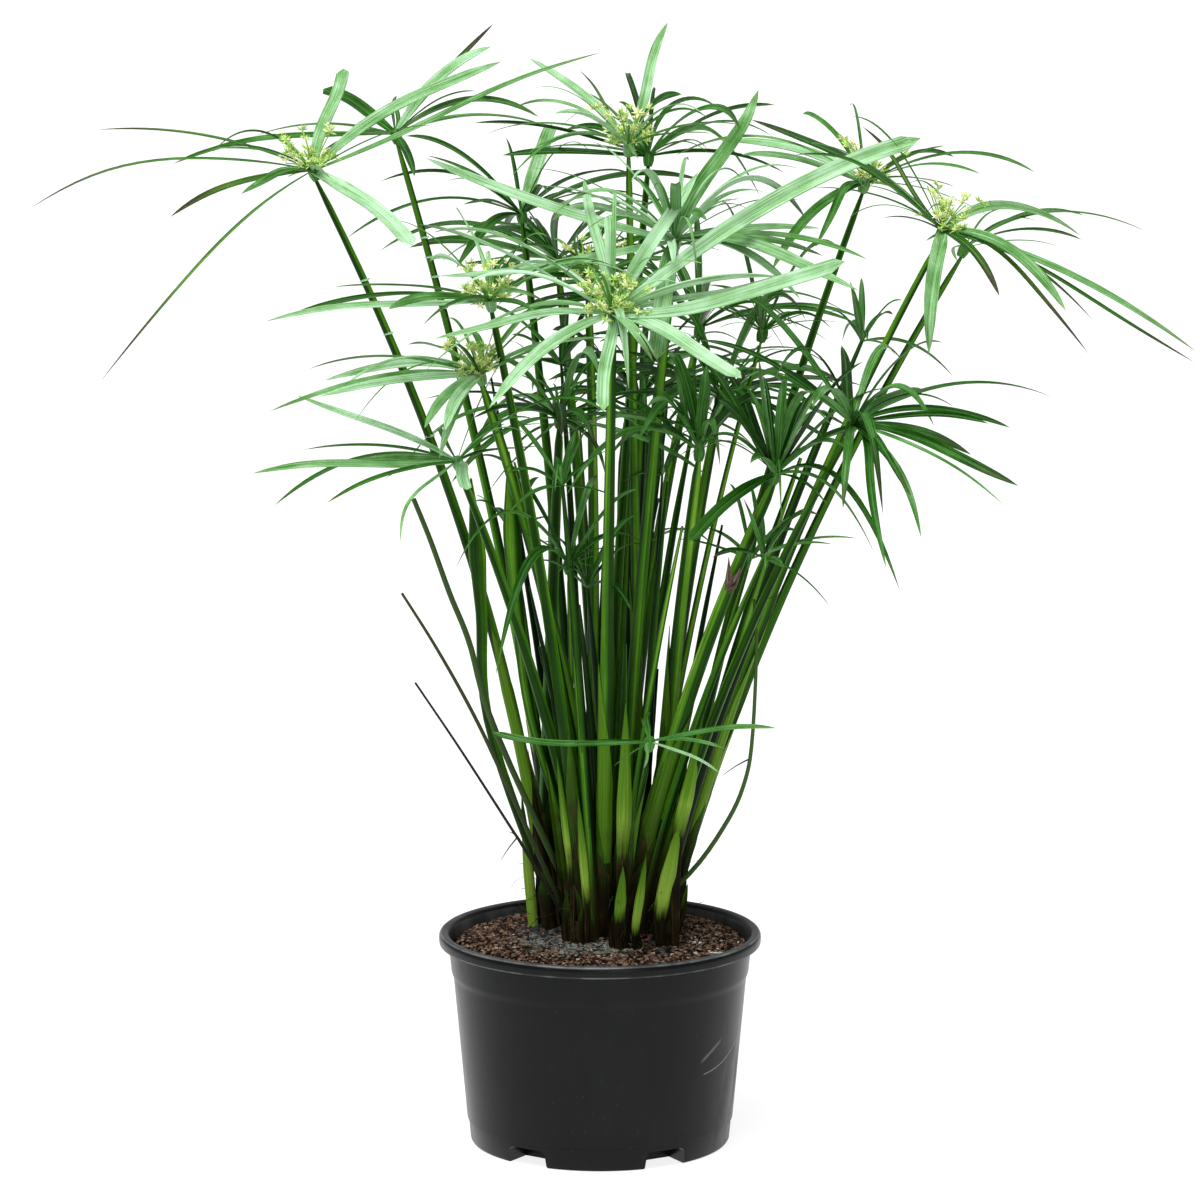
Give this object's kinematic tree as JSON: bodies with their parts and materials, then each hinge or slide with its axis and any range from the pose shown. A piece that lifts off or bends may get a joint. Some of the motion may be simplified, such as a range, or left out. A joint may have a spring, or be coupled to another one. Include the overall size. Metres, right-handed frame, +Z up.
{
  "type": "potted umbrella sedge",
  "caption": "Umbrella sedge in a round black nursery pot: slender upright stems, each topped by a whorl of long narrow leaf-like bracts.",
  "frame": {"origin": "on the pot's axis, at the flat underside that it stands on", "axes": "+Z up along the pot's axis; the front of the plant, as pictured, faces -Y; +X to the right"},
  "size_m": [0.8462, 0.6686, 0.8302],
  "materials": {
    "pot_plastic": "satin black",
    "soil": "crumbly peat mix",
    "root": "fibrous brown",
    "stem": "smooth green",
    "bract": "satin green",
    "shoot": "satin light green",
    "dead_stalk": "dull olive brown"
  },
  "bodies": {
    "root": {"pot": "pot_plastic", "soil": "soil", "rootstock": "root", "stem_01": "stem", "umbel_01": "bract", "stem_02": "stem", "umbel_02": "bract", "stem_03": "stem", "umbel_03": "bract", "stem_04": "stem", "umbel_04": "bract", "stem_05": "stem", "umbel_05": "bract", "stem_06": "stem", "umbel_06": "bract", "stem_07": "stem", "umbel_07": "bract", "stem_08": "stem", "umbel_08": "bract", "stem_09": "stem", "umbel_09": "bract", "stem_10": "stem", "umbel_10": "bract", "stem_11": "stem", "umbel_11": "bract", "stem_12": "stem", "umbel_12": "bract", "stem_13": "stem", "umbel_13": "bract", "stem_14": "stem", "umbel_14": "bract", "stem_15": "stem", "umbel_15": "bract", "stem_16": "stem", "umbel_16": "bract", "stem_17": "stem", "umbel_17": "bract", "stem_18": "stem", "umbel_18": "bract", "stem_19": "stem", "umbel_19": "bract", "stem_20": "stem", "umbel_20": "bract", "stem_21": "stem", "umbel_21": "bract", "stem_22": "stem", "umbel_22": "bract", "stem_23": "stem", "umbel_23": "bract", "stem_24": "stem", "umbel_24": "bract", "stem_25": "stem", "umbel_25": "bract", "stalk_1": "dead_stalk", "stalk_2": "dead_stalk", "stalk_3": "dead_stalk", "stalk_4": "dead_stalk", "shoot_1": "shoot", "shoot_2": "shoot"}
  },
  "joints": []
}
